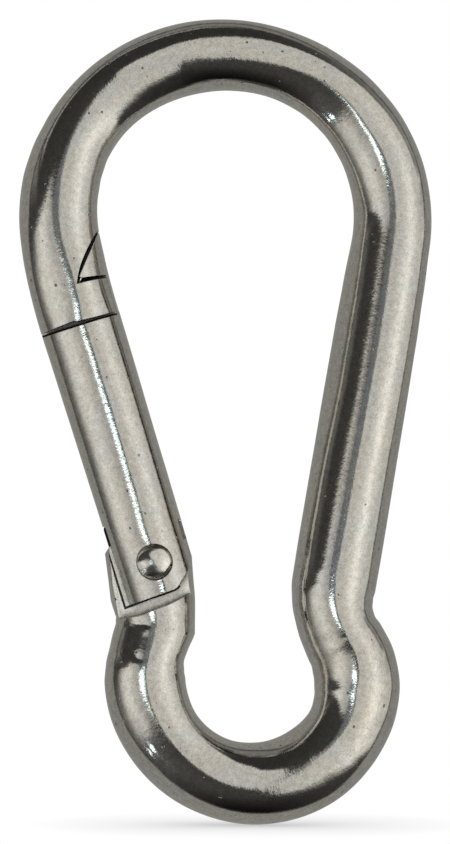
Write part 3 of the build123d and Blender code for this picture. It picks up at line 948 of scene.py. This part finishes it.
def build_hook():
    """Nose, main bar and tang, joined on their shared rings."""
    nose = build_nose()
    tang = build_tang()
    stations = np.concatenate([np.arange(NOSE_LENGTH, S_KINK - 5.0, 0.28), [S_TANG]])
    main = hook_tube("main", stations, BAR_MATS, caps=(JOINT, JOINT))
    parts = (nose, main, tang)
    bm = bmesh.new()
    for part in parts:
        bm.from_mesh(part.data)
    joints = [face for face in bm.faces if face.material_index == JOINT]
    bmesh.ops.delete(bm, geom=joints, context="FACES")
    bmesh.ops.remove_doubles(bm, verts=bm.verts, dist=0.004 * MM)
    mesh = bpy.data.meshes.new("hook_bar")
    bm.to_mesh(mesh)
    bm.free()
    for mat in BAR_MATS:
        mesh.materials.append(mat)
    for part in parts:
        bpy.data.objects.remove(part)
    ob = bpy.data.objects.new("hook_bar", mesh)
    scene.collection.objects.link(ob)
    finish_mesh(ob)
    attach(ob, "hook")
    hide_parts("hook_body")


# ------------------------------------------------------------------ gate
GATE_LOW, GATE_HIGH = -4.5, GATE_TOP + 0.42       # blank bar before its ends are cut
GATE_R_LOW, GATE_R_HIGH = 3.74, 4.03
TEXTURE_SHIFT = 300           # keeps the gate's texture apart from the hook's
GATE_FOOT = [(-7, -3.55), (-3.42, -3.37), (1.05, -3.14), (1.35, -3.06), (1.55, -2.92),
             (3.18, -1.50), (3.64, -1.11), (6, 0.9), (9, -9), (-7, -9)]
FORK_R = 4.76
TONGUE = [(0.2, 23.9), (0.2, 27.55), (0.55, 28.15), (1.36, 28.9), (5.2, 29.2), (5.2, 23.9)]
HEAD_FOOT = [(1.36, 28.83), (3.246, 28.553), (4.6, 28.31), (4.6, 32.75)]
HEAD_HEEL = [(1.27, 29.08), (1.235, 28.96), (1.28, 28.88)]


def gate_blank():
    count = int((GATE_HIGH - GATE_LOW) / 0.25)
    b = GATE_LOW + (GATE_HIGH - GATE_LOW) * np.arange(count + 1) / count
    stations = b + TEXTURE_SHIFT
    along, around = np.meshgrid(stations, ring_angles(), indexing="ij")
    turn = np.radians(around)
    skin = waviness(along.ravel(), turn.ravel(), coarse=0.010, fine=0.005, seeds=(11, 12))
    skin = skin.reshape(along.shape)
    radius = GATE_R_LOW + (GATE_R_HIGH - GATE_R_LOW) * (b - GATE_LOW) / (GATE_HIGH - GATE_LOW)
    depth = section(radius, shape_at(GATE_SHAPE, b)) + skin * np.sin(turn)
    x, z = from_gate(GATE_OFFSET + (radius[:, None] + skin) * np.cos(turn), b[:, None])
    return bar_object("gate_bar", np.stack([x, -depth, z], -1), stations, GATE_MATS,
                      caps=(MILLED, MILLED))


def build_gate():
    ob = gate_blank()
    # the top face, with a low ridge along its middle
    for side in (1, -1):
        beside = [(0.95, GATE_TOP), (BEYOND, GATE_TOP), (BEYOND, 26), (0.45, 26),
                  (0.45, RIDGE_TOP), (0.62, 24.55)]
        carve_across(ob, GATE_MATS, [(y * side, b) for y, b in beside], SLOT)
    above = [(-BEYOND, RIDGE_TOP), (BEYOND, RIDGE_TOP), (BEYOND, 26), (-BEYOND, 26)]
    carve_across(ob, GATE_MATS, above, MILLED)
    carve(ob, GATE_MATS, GATE_FOOT, MILLED, (-BEYOND, BEYOND))
    # slot between the two cheeks of the fork
    arc = [(FORK_R * math.sin(t), FORK_R * math.cos(t)) for t in np.radians(np.linspace(7, 80, 30))]
    carve(ob, GATE_MATS, [(-9, -9), (-9, 4.73)] + arc + [(9, 0.5), (9, -9)], MILLED, (-1.8, 1.8))
    # spring bore, rivet hole and the seats of the rivet heads
    x, z = from_gate(0, -6)
    drill(ob, GATE_MATS, MILLED, 2.0, (x, 0, z), 24.0, axis=(UP_X, 0, UP_Z),
          ref=(IN_X, 0, IN_Z), count=48)
    drill(ob, GATE_MATS, MILLED, SHANK_R + 0.01, (HINGE[0], -9, HINGE[1]), 18)
    for side in (1, -1):
        drill(ob, GATE_MATS, SEAT, RIVET_HEAD_R + 0.02, (HINGE[0], side * 2.75, HINGE[1]), 4,
              axis=(0, side, 0))
    # tongue and T head, cut from the hook's bar so that they stay flush with the nose
    head = HEAD_FOOT + spline(HEAD_FACE[1:], 5)[::-1] + HEAD_HEEL
    for outline, half, slot in ((TONGUE, 1.55, SLOT), (head, BEYOND, MILLED)):
        blank = hook_tube("blank", np.arange(-2.4, NOSE_LENGTH + 0.01, 0.2), GATE_MATS,
                          caps=(MILLED, MILLED), shrink=0.02)
        carve(blank, GATE_MATS, outline, slot, (-half, half), op="INTERSECT")
        boolean(ob, blank, "UNION")
    finish_mesh(ob)
    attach(ob, "gate")
    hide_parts("gate")


# ------------------------------------------------------------------ rivet
def peened(radius, height, turn):
    """Uneven heads; the shank between them stays true."""
    level = abs(height)
    rim = smooth01((radius - 1.0) / 0.75) if level > 2.6 else 0.0
    point = np.array([[radius * math.cos(turn) * 1.3 + 20 * (height > 0),
                       radius * math.sin(turn) * 1.3, height * 0.6]])
    dent = 0.035 * value_noise(point, 21)[0] + 0.02 * value_noise(point * 2.1, 22)[0]
    if level > 3.2:
        height = height + (1 if height > 0 else -1) * (dent - 0.045) * (0.4 + 0.6 * rim)
    if level > 2.6:
        radius = radius * (1 + 0.012 * value_noise(point * 1.7, 23)[0]) - 0.015 * rim
    return radius, height


def build_rivet():
    top, rim, steps = 4.12, 3.52, 24
    crown = top - rim
    dome_r = (RIVET_HEAD_R * RIVET_HEAD_R + crown * crown) / (2 * crown)
    profile = [(1e-3, top)]
    for i in range(1, steps + 1):
        r = RIVET_HEAD_R * i / steps
        profile.append((r, top - (dome_r - math.sqrt(dome_r * dome_r - r * r))))
    profile += [(RIVET_HEAD_R, 3.1), (RIVET_HEAD_R - 0.02, 2.9), (RIVET_HEAD_R - 0.03, 2.78),
                (SHANK_R, 2.77), (SHANK_R, 1.2), (SHANK_R, 0.0)]
    profile += [(r, -h) for r, h in reversed(profile[:-1])]
    ob = lathe("rivet", (HINGE[0], 0, HINGE[1]), (0, 1, 0), (1, 0, 0), profile, 72,
               [steel_rivet], 0, wobble=peened)
    finish_mesh(ob, weld=0.002)
    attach(ob, "gate")
    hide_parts("hinge_rivet")


# ------------------------------------------------------------------ spring
def build_spring():
    """Coil along the gate's b axis."""
    wire, coil_r, turns = 0.5, 1.6, 11
    low, high = 6.25 + wire / 2 + 0.02, 18.0 - wire / 2 - 0.02
    steps, sides = turns * 40, 12
    verts = []
    for i in range(steps + 1):
        angle = 2 * math.pi * turns * i / steps
        outward = np.array([math.cos(angle), math.sin(angle), 0.0])
        tangent = np.array([-math.sin(angle) * coil_r, math.cos(angle) * coil_r,
                            (high - low) / (2 * math.pi * turns)])
        tangent /= np.linalg.norm(tangent)
        binormal = np.cross(tangent, outward)
        centre = outward * coil_r + np.array([0, 0, low + (high - low) * i / steps])
        for j in range(sides):
            t = 2 * math.pi * j / sides
            a, y, b = centre + (outward * math.cos(t) + binormal * math.sin(t)) * wire / 2
            x, z = from_gate(a, b)
            verts.append((x, y, z))
    ob = make_object("gate_coil_spring", verts, ring_faces(steps + 1, sides), [steel_spring])
    finish_mesh(ob)
    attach(ob, "gate")
    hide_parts("gate_spring")
    x, z = from_gate(0, high + wire / 2)
    x * MM
    z * MM
    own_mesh(ob)


make_world()
make_camera()
make_floor()
build_hook()
build_gate()
build_rivet()
build_spring()
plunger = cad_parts["spring_plunger"]
plunger.data.materials.clear()
plunger.data.materials.append(steel_turned)

scene.view_settings.view_transform = "Standard"
scene.view_settings.look = "None"
scene.view_settings.exposure = 0.0
scene.view_settings.gamma = 1.0
